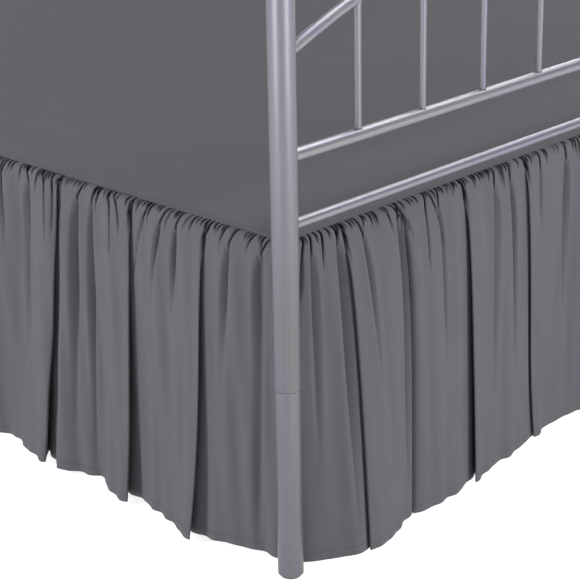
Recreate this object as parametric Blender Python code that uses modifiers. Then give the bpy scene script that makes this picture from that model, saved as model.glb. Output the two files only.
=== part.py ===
"""Gathered bed skirt with split corners, lying on a box spring in a tubular metal bed.

The skirt is a flat deck over the box spring, with three gathered ruffles sewn to its left, foot
and right edges. Each ruffle ends at the corners, so that the bed's posts stand in the splits.
Metres, +Z up, +Y towards the head; the origin is on the floor under the middle of the whole.
"""

import math
from collections import namedtuple

import bmesh
import bpy
from mathutils import Vector

# Driving dimensions of the skirt
BED_WIDTH = 1.524
BED_LENGTH = 2.032
DECK_TOP = 0.468
DROP = 0.457
CLOTH = 0.0016
SEAT_GAP = 0.0003
EDGE_GAP = 0.002

# The foot ruffle stands out further than the head posts, so the bed sits a little towards the head
BED_CENTRE_Y = 0.017

# Box spring
BOX_HEIGHT = 0.229
BOX_EDGE_ROUND = 0.013
PLAN_CORNER = 0.016

# Shoulder, where the deck turns down over the box spring's edge and the ruffles are sewn on
SHOULDER = 0.012
SHOULDER_STEPS = 4
SEAM_TURN = math.radians(45)

# Steel bed
POST_OUTSET = 0.016
POST_RADIUS = 0.0175
LEG_RADIUS = 0.0167
LEG_FOOT_RADIUS = 0.0173
LEG_TOP = 0.272
GLIDE_RADIUS = 0.0145
GLIDE_HEIGHT = 0.003
LOW_RAIL_RADIUS = 0.0068
MID_RAIL_RADIUS = 0.0084
ARCH_RADIUS = 0.0076
SPINDLE_RADIUS = 0.0045
SPINDLE_COUNT = 11
SPINDLE_PITCH = 0.128
SIDE_RAIL_THICK = 0.025
SIDE_RAIL_TALL = 0.045
SIDE_RAIL_INSET = 0.007
PLATE_THICK = 0.004
PLATE_OVERHANG = 0.022
SLAT_COUNT = 3
SLAT_PITCH = 0.62
SLAT_WIDE = 0.040
SLAT_TALL = 0.020
CENTRE_LEG_RADIUS = 0.012

POST_SIDES = 24
RAIL_SIDES = 16
SPINDLE_SIDES = 10
DOME_STEPS = 4
ARCH_POINTS = 25

# Heights above the floor of each end's rails; the arch springs from the posts and rises to its crown
EndFrame = namedtuple("EndFrame", "name toward low_rail mid_rail spring rise post_top")
END_FRAMES = (
    EndFrame("foot", -1, 0.4915, 0.581, 0.707, 0.158, 0.835),
    EndFrame("head", 1, 0.600, 0.700, 0.980, 0.158, 1.110),
)

# A ruffle's folds, in millimetres, from its first corner on. Each row is an edge and the face that
# runs on from it to the next edge: top and hem are the edge's places along the bed at the seam and
# at the hem, and out is how far it stands from the box spring at the hem. The cloth before it stands
# meet out where it reaches the edge, then tucks lap behind it (less than 0 is an open fold, which
# turns before it) and is tuck out at that turn. Swell and roll are the face's single and double wave.
# The first and last rows are the ruffle's own two ends.
Fold = namedtuple("Fold", "top hem out meet lap tuck swell roll")
LEFT_FOLDS = (
    Fold(17, 14, 3, 0, 0, 0, -2, 0),
    Fold(139, 143, 54, 33, 35, 32, -6, 0),
    Fold(286, 293, 36, 15, 32, 12, 5, 0),
    Fold(405, 446, 31, 6, -40, 14, 0, 0),
    Fold(434, 482, 29, 13, 28, 5, 7, 2),
    Fold(560, 650, 24, 2, -40, 7, 0, 0),
    Fold(690, 742, 38, 14, 32, 10, -5, 6),
    Fold(815, 858, 44, 20, 34, 14, -6, 0),
    Fold(930, 968, 26, 8, -30, 12, 3, 0),
    Fold(1060, 1104, 50, 22, 36, 18, -8, -6),
    Fold(1215, 1248, 34, 12, 30, 8, -4, 6),
    Fold(1345, 1372, 28, 8, -34, 12, 2, 4),
    Fold(1480, 1510, 46, 18, 34, 14, -8, 0),
    Fold(1640, 1660, 36, 14, 30, 8, -6, -8),
    Fold(1790, 1806, 48, 20, 34, 16, -8, 6),
    Fold(1925, 1936, 30, 12, -28, 16, 0, 0),
    Fold(2014, 2016, 8, 10, -12, 9, 0, 0),
)
FOOT_FOLDS = (
    Fold(17, 5, 13, 0, 0, 0, 7, 0),
    Fold(104, 92, 66, 55, 12, 52, 7, 3),
    Fold(214, 214, 38, 34, 2, 5, 11, 1),
    Fold(356, 348, 43, 32, 34, 22, -1, -4),
    Fold(494, 527, 15, 10, 30, 2, -13, 0),
    Fold(640, 682, 36, 12, 32, 6, -4, -6),
    Fold(790, 822, 48, 20, 34, 14, 6, 0),
    Fold(930, 948, 30, 10, -32, 14, 3, 2),
    Fold(1075, 1090, 50, 18, 34, 12, 8, -5),
    Fold(1235, 1246, 38, 14, 30, 8, 5, 0),
    Fold(1375, 1384, 52, 24, 30, 18, -4, 0),
    Fold(1506, 1510, 12, 16, -14, 14, 0, 0),
)
RIGHT_FOLDS = (
    Fold(17, 12, 8, 0, 0, 0, 4, 0),
    Fold(130, 140, 46, 22, 32, 16, 6, 0),
    Fold(262, 285, 54, 26, 36, 20, -6, 7),
    Fold(415, 448, 34, 12, -34, 16, 4, -5),
    Fold(560, 604, 48, 16, 34, 12, -8, 5),
    Fold(722, 758, 32, 12, 30, 6, 6, 0),
    Fold(860, 898, 44, 16, 34, 10, -6, -9),
    Fold(1020, 1052, 52, 22, 36, 16, -8, 5),
    Fold(1180, 1212, 30, 8, -32, 12, 4, 0),
    Fold(1330, 1358, 46, 18, 32, 12, 6, -7),
    Fold(1490, 1516, 36, 12, 30, 8, -6, 5),
    Fold(1640, 1660, 50, 20, 34, 14, -8, 0),
    Fold(1800, 1815, 34, 14, 30, 8, 5, -4),
    Fold(1925, 1930, 26, 10, -26, 12, 0, 0),
    Fold(2014, 2018, 8, 10, -12, 9, 0, 0),
)
MILLIMETRE = 0.001

# Depths below the seam of the ruffle's rows, how far its folds have opened at each, and how much
# of the small gathers still stands there
Row = namedtuple("Row", "fall opened gather")
ROWS = (
    Row(0.000, 0.00, 0.0),
    Row(0.011, 0.12, 1.0),
    Row(0.036, 0.38, 0.8),
    Row(0.085, 0.66, 0.4),
    Row(0.165, 0.84, 0.0),
    Row(0.300, 0.94, 0.0),
    Row(DROP, 1.00, 0.0),
)
GATHER_SHARE = 0.2
FACE_STOPS = 3
STEPS_PER_STOP = 2
OPEN_TURN = 1.6
EDGE_ROOM = 4

# Colour, roughness and metallic value of each material
FINISHES = {
    "skirt_cloth": ((0.135, 0.138, 0.145, 1), 0.85, 0.0),
    "ticking": ((0.62, 0.61, 0.58, 1), 0.9, 0.0),
    "silver_steel": ((0.50, 0.50, 0.54, 1), 0.35, 0.8),
    "glide_plastic": ((0.22, 0.22, 0.24, 1), 0.5, 0.0),
}

BOX_TOP = DECK_TOP - CLOTH - SEAT_GAP
BOX_LOW = BOX_TOP - BOX_HEIGHT
FOOT_EDGE_Y = BED_CENTRE_Y - BED_LENGTH / 2
POST_X = BED_WIDTH / 2 + POST_OUTSET
POST_Y = BED_LENGTH / 2 + POST_OUTSET
FULL_TURN = 2 * math.pi
MERGE = 0.00001
TINY = 1e-6


def clear_scene():
    for thing in list(bpy.data.objects):
        bpy.data.objects.remove(thing, do_unlink=True)


def make_collection(name):
    collection = bpy.data.collections.new(name)
    bpy.context.scene.collection.children.link(collection)
    return collection


def make_materials():
    made = {}
    for name, (colour, roughness, metallic) in FINISHES.items():
        material = bpy.data.materials.new(name)
        material.use_nodes = True
        shader = material.node_tree.nodes["Principled BSDF"]
        shader.inputs["Base Color"].default_value = colour
        shader.inputs["Roughness"].default_value = roughness
        shader.inputs["Metallic"].default_value = metallic
        made[name] = material
    return made


def mix(first, second, share):
    return first + (second - first) * share


def add_object(name, mesh, finish, collection):
    thing = bpy.data.objects.new(name, mesh)
    if finish:
        mesh.materials.append(MATERIALS[finish])
    collection.objects.link(thing)
    return thing


def add_bmesh(name, bm, finish, collection, smooth=False):
    mesh = bpy.data.meshes.new(name)
    bm.to_mesh(mesh)
    bm.free()
    if smooth:
        mesh.shade_smooth()
        mesh.set_sharp_from_angle(angle=math.radians(40))
    return add_object(name, mesh, finish, collection)


def box(name, low, high, finish):
    """A plain block between two corners."""
    low, high = Vector(low), Vector(high)
    bm = bmesh.new()
    bmesh.ops.create_cube(bm, size=1)
    bmesh.ops.scale(bm, vec=high - low, verts=bm.verts)
    bmesh.ops.translate(bm, vec=(low + high) / 2, verts=bm.verts)
    return add_bmesh(name, bm, finish, PARTS)


def rounded_block(width, length, low, high, plan_round, edge_round):
    """A block with rounded upright corners and rounded top and bottom edges, centred on the bed."""
    bm = bmesh.new()
    bmesh.ops.create_cube(bm, size=1)
    bmesh.ops.scale(bm, vec=(width, length, high - low), verts=bm.verts)
    bmesh.ops.translate(bm, vec=(0, BED_CENTRE_Y, (low + high) / 2), verts=bm.verts)
    bevel = {"offset_type": "OFFSET", "profile": 0.5, "affect": "EDGES", "material": -1}
    upright = [e for e in bm.edges if abs(e.verts[0].co.z - e.verts[1].co.z) > TINY]
    bmesh.ops.bevel(bm, geom=upright, offset=plan_round, segments=SHOULDER_STEPS, **bevel)
    rims = [e for e in bm.edges if abs(e.verts[0].co.z - e.verts[1].co.z) < TINY]
    bmesh.ops.bevel(bm, geom=rims, offset=edge_round, segments=SHOULDER_STEPS, **bevel)
    return bm


def tube_between(name, start, end, radius, sides, finish, collection):
    """A round bar from one point to another."""
    start, end = Vector(start), Vector(end)
    bm = bmesh.new()
    bmesh.ops.create_cone(
        bm,
        cap_ends=True,
        segments=sides,
        radius1=radius,
        radius2=radius,
        depth=(end - start).length,
    )
    turn = (end - start).to_track_quat("Z", "Y").to_matrix()
    bmesh.ops.rotate(bm, cent=(0, 0, 0), matrix=turn, verts=bm.verts)
    bmesh.ops.translate(bm, vec=(start + end) / 2, verts=bm.verts)
    return add_bmesh(name, bm, finish, collection, smooth=True)


def turned(name, profile, sides, place, finish):
    """A turned piece from its profile, given as (radius, height) from the top down."""
    mesh = bpy.data.meshes.new(name)
    points = [(radius, 0, height) for radius, height in profile]
    mesh.from_pydata(points, [(i, i + 1) for i in range(len(points) - 1)], [])
    thing = add_object(name, mesh, finish, PARTS)
    thing.location = place
    screw = thing.modifiers.new("turn", "SCREW")
    screw.angle = FULL_TURN
    screw.steps = sides
    screw.render_steps = sides
    screw.use_merge_vertices = True
    screw.merge_threshold = MERGE
    return thing


def cope(thing, cutters):
    """Cuts the ends of a tube to fit round the tubes that it meets."""
    for cutter in cutters:
        cut = thing.modifiers.new("cope", "BOOLEAN")
        cut.operation = "DIFFERENCE"
        cut.solver = "EXACT"
        cut.object = cutter


def hide_cutter(cutter):
    cutter.hide_render = True
    cutter.display_type = "WIRE"
    return cutter


def post_place(side, toward):
    return Vector((side * POST_X, BED_CENTRE_Y + toward * POST_Y, 0))


def make_post(side, end):
    """One corner: a plastic glide, a leg sleeve and the post above it with a domed top."""
    place = post_place(side, end.toward)
    corner = f"{end.name}_{'left' if side < 0 else 'right'}"
    glide = [(0, GLIDE_HEIGHT), (GLIDE_RADIUS, GLIDE_HEIGHT), (GLIDE_RADIUS, 0), (0, 0)]
    turned(f"glide_{corner}", glide, POST_SIDES, place, "glide_plastic")
    leg_low = GLIDE_HEIGHT + SEAT_GAP
    leg = [(0, LEG_TOP), (LEG_RADIUS, LEG_TOP), (LEG_FOOT_RADIUS, leg_low), (0, leg_low)]
    turned(f"leg_{corner}", leg, POST_SIDES, place, "silver_steel")
    dome_low = end.post_top - POST_RADIUS / 2
    dome = []
    for step in range(DOME_STEPS + 1):
        turn = math.pi / 2 * step / DOME_STEPS
        dome.append((POST_RADIUS * math.sin(turn), mix(dome_low, end.post_top, math.cos(turn))))
    post_low = LEG_TOP + SEAT_GAP
    post = dome + [(POST_RADIUS, post_low), (0, post_low)]
    turned(f"post_{corner}", post, POST_SIDES, place, "silver_steel")


def arch_point(end, across):
    """A point on the arch's centre line, across metres from the bed's middle."""
    half = POST_X
    radius = (half**2 + end.rise**2) / (2 * end.rise)
    height = end.spring + end.rise - radius + math.sqrt(radius**2 - across**2)
    return Vector((across, BED_CENTRE_Y + end.toward * POST_Y, height))


def arch_tube(name, end, radius, finish, collection):
    """The arch as a tube along its circular line, made a mesh so that it can be cut."""
    curve = bpy.data.curves.new(name, "CURVE")
    curve.dimensions = "3D"
    curve.bevel_depth = radius
    curve.bevel_resolution = 4
    curve.use_fill_caps = True
    spline = curve.splines.new("POLY")
    spline.points.add(ARCH_POINTS - 1)
    for index, point in enumerate(spline.points):
        across = mix(-POST_X, POST_X, index / (ARCH_POINTS - 1))
        point.co = (*arch_point(end, across), 1)
    wire = bpy.data.objects.new(f"{name}_line", curve)
    collection.objects.link(wire)
    bpy.context.view_layer.update()
    shown = wire.evaluated_get(bpy.context.evaluated_depsgraph_get())
    mesh = bpy.data.meshes.new_from_object(shown)
    bpy.data.objects.remove(wire, do_unlink=True)
    bm = bmesh.new()
    bm.from_mesh(mesh)
    bmesh.ops.remove_doubles(bm, verts=bm.verts, dist=MERGE)
    return add_bmesh(name, bm, finish, collection, smooth=True)


def make_end_frame(end):
    """The foot or head frame: two posts, two straight rails, an arch and a row of spindles."""
    y = BED_CENTRE_Y + end.toward * POST_Y
    post_cutters = []
    for side in (-1, 1):
        make_post(side, end)
        low = post_place(side, end.toward) + Vector((0, 0, LEG_TOP))
        high = low + Vector((0, 0, end.post_top))
        radius = POST_RADIUS + SEAT_GAP
        name = f"cut_post_{end.name}_{side}"
        cutter = tube_between(name, low, high, radius, POST_SIDES, None, CUTTERS)
        post_cutters.append(hide_cutter(cutter))
    rail_cutters = {}
    for label, height, radius in (
        ("low", end.low_rail, LOW_RAIL_RADIUS),
        ("mid", end.mid_rail, MID_RAIL_RADIUS),
    ):
        start, finish = (-POST_X, y, height), (POST_X, y, height)
        name = f"{end.name}_{label}_rail"
        rail = tube_between(name, start, finish, radius, RAIL_SIDES, "silver_steel", PARTS)
        cope(rail, post_cutters)
        wide = radius + SEAT_GAP
        cutter = tube_between(f"cut_{name}", start, finish, wide, RAIL_SIDES, None, CUTTERS)
        rail_cutters[label] = hide_cutter(cutter)
    arch = arch_tube(f"{end.name}_arch", end, ARCH_RADIUS, "silver_steel", PARTS)
    cope(arch, post_cutters)
    wide_arch = arch_tube(f"cut_{end.name}_arch", end, ARCH_RADIUS + SEAT_GAP, None, CUTTERS)
    hide_cutter(wide_arch)
    for index in range(SPINDLE_COUNT):
        across = (index - (SPINDLE_COUNT - 1) / 2) * SPINDLE_PITCH
        top = arch_point(end, across)
        foot = (across, y, end.mid_rail)
        name = f"{end.name}_spindle_{index + 1:02d}"
        spindle = tube_between(
            name, foot, top, SPINDLE_RADIUS, SPINDLE_SIDES, "silver_steel", PARTS
        )
        cope(spindle, [rail_cutters["mid"], wide_arch])


def make_bed_base():
    """Side rails hooked to the legs, slats between them, and legs under the slats' middles."""
    rail_top = BOX_LOW - SEAT_GAP
    rail_low = rail_top - SIDE_RAIL_TALL
    outer = BED_WIDTH / 2 - SIDE_RAIL_INSET
    inner = outer - SIDE_RAIL_THICK
    leg_radius = mix(LEG_RADIUS, LEG_FOOT_RADIUS, 1 - rail_low / LEG_TOP)
    plate_y = POST_Y - leg_radius - SEAT_GAP
    rail_y = plate_y - PLATE_THICK - SEAT_GAP
    for side, word in ((-1, "left"), (1, "right")):
        near, far = sorted((side * inner, side * outer))
        box(
            f"side_rail_{word}",
            (near, BED_CENTRE_Y - rail_y, rail_low),
            (far, BED_CENTRE_Y + rail_y, rail_top),
            "silver_steel",
        )
        for end in END_FRAMES:
            first, last = sorted((end.toward * plate_y, end.toward * (plate_y - PLATE_THICK)))
            near, far = sorted((side * inner, side * (outer + PLATE_OVERHANG)))
            box(
                f"hook_plate_{end.name}_{word}",
                (near, BED_CENTRE_Y + first, rail_low),
                (far, BED_CENTRE_Y + last, rail_top),
                "silver_steel",
            )
    for index in range(SLAT_COUNT):
        y = BED_CENTRE_Y + (index - (SLAT_COUNT - 1) / 2) * SLAT_PITCH
        reach = inner - SEAT_GAP
        box(
            f"slat_{index + 1}",
            (-reach, y - SLAT_WIDE / 2, rail_top - SLAT_TALL),
            (reach, y + SLAT_WIDE / 2, rail_top),
            "silver_steel",
        )
        top = rail_top - SLAT_TALL - SEAT_GAP
        name = f"centre_leg_{index + 1}"
        tube_between(
            name, (0, y, 0), (0, y, top), CENTRE_LEG_RADIUS, RAIL_SIDES, "silver_steel", PARTS
        )


def make_box_spring():
    bm = rounded_block(BED_WIDTH, BED_LENGTH, BOX_LOW, BOX_TOP, PLAN_CORNER, BOX_EDGE_ROUND)
    add_bmesh("box_spring", bm, "ticking", PARTS, smooth=True)


def make_deck():
    """The flat panel of the skirt, which turns down over the box spring's edge as far as the seam."""
    grow = 2 * EDGE_GAP
    underside = BOX_TOP + SEAT_GAP
    bm = rounded_block(
        BED_WIDTH + grow,
        BED_LENGTH + grow,
        BOX_LOW,
        underside,
        PLAN_CORNER + EDGE_GAP,
        SHOULDER,
    )
    seam_height = underside - SHOULDER * (1 - math.cos(SEAM_TURN))
    below = [f for f in bm.faces if min(v.co.z for v in f.verts) < seam_height - MERGE]
    bmesh.ops.delete(bm, geom=below, context="FACES")
    deck = add_bmesh("deck_panel", bm, "skirt_cloth", PARTS, smooth=True)
    thicken(deck)


def thicken(sheet):
    """Gives a sheet its cloth's thickness, on its outer side."""
    solid = sheet.modifiers.new("cloth", "SOLIDIFY")
    solid.thickness = CLOTH
    solid.offset = 1
    solid.use_even_offset = False


def hang_line(fall):
    """How far out and how high the ruffle's inner face is, fall metres below the seam, with no folds."""
    centre_out = EDGE_GAP - SHOULDER
    centre_high = BOX_TOP + SEAT_GAP - SHOULDER
    start = SEAM_TURN + SEAT_GAP / SHOULDER
    turn = start + fall / SHOULDER
    if turn < math.pi / 2:
        return centre_out + SHOULDER * math.sin(turn), centre_high + SHOULDER * math.cos(turn)
    return EDGE_GAP, centre_high - (fall - (math.pi / 2 - start) * SHOULDER)


def fold_line(folds, row):
    """The turning points (along, out) of the folds at one row, in metres."""
    lean = row.fall / DROP
    flat_out = hang_line(row.fall)[0]
    stops = FACE_STOPS + 2
    line = []
    for fold, following in zip(folds, folds[1:]):
        start = mix(fold.top, fold.hem, lean)
        cell = mix(following.top, following.hem, lean) - start
        reach = cell + min(following.lap, 0) * OPEN_TURN - EDGE_ROOM
        for stop in range(stops):
            share = stop / FACE_STOPS
            wave = fold.swell * math.sin(math.pi * share) + fold.roll * math.sin(FULL_TURN * share)
            place, stand = reach * share, mix(fold.out, following.meet, share) + wave
            if stop > FACE_STOPS:
                place, stand = cell + following.lap, following.tuck
            along = start + mix(cell * stop / stops, place, row.opened)
            line.append((along * MILLIMETRE, mix(flat_out, stand * MILLIMETRE, row.opened)))
    end = folds[-1]
    last_out = mix(flat_out, end.out * MILLIMETRE, row.opened)
    line.append((mix(end.top, end.hem, lean) * MILLIMETRE, last_out))
    return line


def smooth_line(points, steps):
    """A smooth curve through points, with steps samples from each to the next."""
    samples = []
    last = len(points) - 1
    for index in range(last):
        around = [Vector(points[min(max(index + k, 0), last)]) for k in (-1, 0, 1, 2)]
        before, here, after, beyond = around
        for step in range(steps):
            t = step / steps
            bend = 2 * before - 5 * here + 4 * after - beyond
            twist = 3 * here - before - 3 * after + beyond
            samples.append(here + 0.5 * t * (after - before + t * (bend + t * twist)))
    samples.append(Vector(points[last]))
    return samples


def ruffle_point(row, line, column):
    """Where one point of a ruffle is: along the bed's edge, out from it, and its height."""
    flat_out, height = hang_line(row.fall)
    along, out = line[column]
    out = max(out, flat_out)
    if column % 2:
        out += GATHER_SHARE * row.gather * abs(line[column + 1].x - line[column - 1].x)
    below = hang_line(ROWS[1].fall)[1] - height
    stand = out - flat_out
    if below > stand:
        height += below - math.sqrt(below**2 - stand**2)
    return along, out, height


def make_ruffle(name, folds, to_world, outward):
    """One gathered ruffle: a grid of cloth laid on its folds, row by row, and given thickness."""
    lines = [smooth_line(fold_line(folds, row), STEPS_PER_STOP) for row in ROWS]
    columns = len(lines[0]) - 1
    bm = bmesh.new()
    bmesh.ops.create_grid(bm, x_segments=columns, y_segments=len(ROWS) - 1, size=1)
    for vert in bm.verts:
        column = round((vert.co.x + 1) / 2 * columns)
        level = round((1 - vert.co.y) / 2 * (len(ROWS) - 1))
        vert.co = to_world(*ruffle_point(ROWS[level], lines[level], column))
    bm.normal_update()
    if sum(face.normal.dot(outward) for face in bm.faces) < 0:
        bmesh.ops.reverse_faces(bm, faces=bm.faces)
    thicken(add_bmesh(name, bm, "skirt_cloth", PARTS, smooth=True))


def make_ruffles():
    half = BED_WIDTH / 2
    make_ruffle(
        "ruffle_left",
        LEFT_FOLDS,
        lambda along, out, height: (-half - out, FOOT_EDGE_Y + along, height),
        Vector((-1, 0, 0)),
    )
    make_ruffle(
        "ruffle_right",
        RIGHT_FOLDS,
        lambda along, out, height: (half + out, FOOT_EDGE_Y + along, height),
        Vector((1, 0, 0)),
    )
    make_ruffle(
        "ruffle_foot",
        FOOT_FOLDS,
        lambda along, out, height: (-half + along, FOOT_EDGE_Y - out, height),
        Vector((0, -1, 0)),
    )


clear_scene()
PARTS = make_collection("bed_skirt_on_bed")
CUTTERS = make_collection("cutters")
MATERIALS = make_materials()
make_deck()
make_ruffles()
make_box_spring()
for frame in END_FRAMES:
    make_end_frame(frame)
make_bed_base()
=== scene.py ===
# %% [markdown]
# A gathered bed skirt on a metal bed
#
# The real thing is a flat cloth deck that lies on the box spring under the mattress, with three
# long ruffles sewn to its edge. Each ruffle is gathered to about two thirds of its cut length and
# hangs almost to the floor. The corners are split, so that the posts of the bed can stand in them.
# This notebook dresses the bed's solids: it keeps their places, and makes the cloth and the steel
# with the detail that the real ones show.

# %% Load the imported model
from collections import namedtuple
from functools import partial
from math import asin, cos, exp, pi, radians, sin, sqrt, tan

import bmesh
import bpy
import numpy as np
from mathutils import Matrix, Vector


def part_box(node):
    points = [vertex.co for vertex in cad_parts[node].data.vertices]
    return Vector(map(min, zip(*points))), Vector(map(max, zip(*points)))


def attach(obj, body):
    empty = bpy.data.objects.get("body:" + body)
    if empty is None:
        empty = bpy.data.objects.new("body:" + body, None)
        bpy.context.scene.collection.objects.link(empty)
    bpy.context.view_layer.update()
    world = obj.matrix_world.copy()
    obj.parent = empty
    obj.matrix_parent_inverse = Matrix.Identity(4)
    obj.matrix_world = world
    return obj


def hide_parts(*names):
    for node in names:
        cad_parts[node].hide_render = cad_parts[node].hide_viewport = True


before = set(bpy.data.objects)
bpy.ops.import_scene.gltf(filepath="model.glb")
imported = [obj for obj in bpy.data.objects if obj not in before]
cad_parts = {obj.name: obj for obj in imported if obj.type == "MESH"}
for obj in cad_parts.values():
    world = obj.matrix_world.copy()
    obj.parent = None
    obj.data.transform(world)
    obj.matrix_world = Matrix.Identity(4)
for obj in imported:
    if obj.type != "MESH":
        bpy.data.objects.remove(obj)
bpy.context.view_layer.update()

# %% [markdown]
# The sizes come from the solids
#
# The box spring gives the bed's edges, and the deck panel gives the height of the cloth. What the
# solids can't tell, such as how a fold opens on its way down, is a named value here.

# %% Read the bed's sizes
box_low, box_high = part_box("box_spring")
deck_low, deck_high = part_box("deck_panel")
hem_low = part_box("ruffle_left")[0].z
BED_WIDTH = box_high.x - box_low.x
BED_LENGTH = box_high.y - box_low.y
BED_CENTRE = (box_low + box_high) / 2
FOOT_EDGE = box_low.y
HALF_WIDTH = BED_WIDTH / 2
DECK_TOP = deck_high.z
SEAM_HEIGHT = deck_low.z
DROP = SEAM_HEIGHT - hem_low
MM = 0.001
print("bed", round(BED_WIDTH, 3), "by", round(BED_LENGTH, 3), "drop", round(DROP, 3))

# %% [markdown]
# Helpers for objects and materials
#
# Every piece ends as a mesh in the scene, and every finish is a small network of nodes. These
# helpers keep both short: they add an object, close a mesh, add a node with its settings, do sums
# on sockets, and start a group with named inputs and outputs.


# %% Make the helpers
def add_object(name, data):
    """A new object in the scene."""
    thing = bpy.data.objects.new(name, data)
    bpy.context.scene.collection.objects.link(thing)
    return thing


def make_mesh(name, shape, material, sharp_from=None):
    """A smooth mesh from a finished bmesh. Edges that turn by sharp_from degrees stay sharp."""
    mesh = bpy.data.meshes.new(name)
    shape.to_mesh(mesh)
    shape.free()
    mesh.shade_smooth()
    if sharp_from:
        mesh.set_sharp_from_angle(angle=radians(sharp_from))
    mesh.materials.append(material)
    return mesh


def set_inputs(node, given):
    """Sets a node's inputs, given as values or as sockets to link."""
    for key, value in given.items():
        if isinstance(value, bpy.types.NodeSocket):
            node.id_data.links.new(value, node.inputs[key])
        else:
            node.inputs[key].default_value = value
    return node


def add_node(tree, kind, given=None, **settings):
    """A node with its settings and its inputs."""
    node = tree.nodes.new(kind)
    for name, value in settings.items():
        setattr(node, name, value)
    return set_inputs(node, given or {})


def maths(operation, *given):
    """The result of one sum on values and sockets."""
    tree = next(value.id_data for value in given if isinstance(value, bpy.types.NodeSocket))
    sums = add_node(tree, "ShaderNodeMath", dict(enumerate(given)), operation=operation)
    return sums.outputs[0]


plus, minus, times = (partial(maths, kind) for kind in ("ADD", "SUBTRACT", "MULTIPLY"))


def split_place(place):
    """The three parts of a place or a map."""
    return add_node(place.id_data, "ShaderNodeSeparateXYZ", {0: place}).outputs


def read_noise(place, scale, detail, roughness=0.5):
    """A noise's strength, from 0 to 1."""
    given = {"Vector": place, "Scale": scale, "Detail": detail, "Roughness": roughness}
    return add_node(place.id_data, "ShaderNodeTexNoise", given).outputs["Fac"]


def scale_colour(colour, factor):
    """A colour made darker or lighter."""
    given = {0: colour, "Scale": factor}
    return add_node(colour.id_data, "ShaderNodeVectorMath", given, operation="SCALE").outputs[0]


def mix_colours(share, first, second):
    """A colour between two."""
    given = {"Factor": share, "A": first, "B": second}
    return add_node(share.id_data, "ShaderNodeMix", given, data_type="RGBA").outputs["Result"]


def bump_of(height, strength, distance):
    """The normal of a surface with small heights."""
    given = {"Height": height, "Strength": strength, "Distance": distance}
    return add_node(height.id_data, "ShaderNodeBump", given).outputs["Normal"]


FLOAT, COLOUR, VECTOR = "NodeSocketFloat", "NodeSocketColor", "NodeSocketVector"
FINISH = {"Colour": COLOUR, "Roughness": FLOAT, "Height": FLOAT}
GREY = (0.5, 0.5, 0.5, 1)


def start_group(name, inputs):
    """A group that puts out a finish, and its two ends. An input with no default is a place."""
    group = bpy.data.node_groups.new(name, "ShaderNodeTree")
    kinds = {type(None): VECTOR, tuple: COLOUR, float: FLOAT}
    for label, default in inputs.items():
        kind = kinds[type(default)]
        socket = group.interface.new_socket(label, in_out="INPUT", socket_type=kind)
        if default is not None:
            socket.default_value = default
    for label, kind in FINISH.items():
        group.interface.new_socket(label, in_out="OUTPUT", socket_type=kind)
    return group, group.nodes.new("NodeGroupInput").outputs, group.nodes.new("NodeGroupOutput")


def start_material(name):
    """A material with only its shader, and the tree it stands in."""
    material = bpy.data.materials.new(name)
    material.use_nodes = True
    return material, material.node_tree, material.node_tree.nodes["Principled BSDF"]

# %% [markdown]
# The camera
#
# The picture looks down on the bed's foot corner with a long lens. The camera stands on the
# corner's diagonal, a little above the height of the foot end's arch, and leans by one degree.

# %% Place the camera
CAMERA_PLACE = Vector((-2.3214, -2.5134, 1.2329))
CAMERA_HEADING = radians(44.009)
CAMERA_DIP = radians(20.978)
CAMERA_LEAN = radians(1.010)
CAMERA_LENS = 113.45

forward = Vector(
    (
        cos(CAMERA_HEADING) * cos(CAMERA_DIP),
        sin(CAMERA_HEADING) * cos(CAMERA_DIP),
        -sin(CAMERA_DIP),
    )
)
level_right = Vector((sin(CAMERA_HEADING), -cos(CAMERA_HEADING), 0))
level_down = forward.cross(level_right)
right = cos(CAMERA_LEAN) * level_right + sin(CAMERA_LEAN) * level_down
down = cos(CAMERA_LEAN) * level_down - sin(CAMERA_LEAN) * level_right
camera = add_object("camera", bpy.data.cameras.new("camera"))
camera.matrix_world = Matrix((right, -down, -forward)).transposed().to_4x4()
camera.location = CAMERA_PLACE
camera.data.lens = CAMERA_LENS
camera.data.sensor_width = 36
bpy.context.scene.camera = camera

# %% [markdown]
# The studio
#
# A product picture of cloth is lit so softly that it has hardly any shadows: a white surround and a
# floor that glows like a light table give most of the light. A lamp at the far side of each panel
# gives its folds their shape, because they show best when the light runs across them. Steel is a
# mirror, and wants its own lamps, which stand where its tubes should gleam.

# %% Light the floor and the bed
SURROUND_STRENGTH = 0.28
FLOOR_SIZE = 120
WHITE = (1, 1, 1, 1)
POST_AT = (-0.78, -1.03, 0.6)


def area_lamp(name, place, aim, size, power, lights="all"):
    """A square soft lamp that points at a place, and lights all, the cloth or the steel."""
    lamp = bpy.data.lights.new(name, "AREA")
    lamp.size = size
    lamp.energy = power
    thing = add_object(name, lamp)
    thing.location = place
    thing.rotation_mode = "QUATERNION"
    thing.rotation_quaternion = (Vector(aim) - Vector(place)).to_track_quat("-Z", "Y")
    thing.visible_diffuse = lights != "steel"
    thing.visible_glossy = lights != "cloth"


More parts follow.
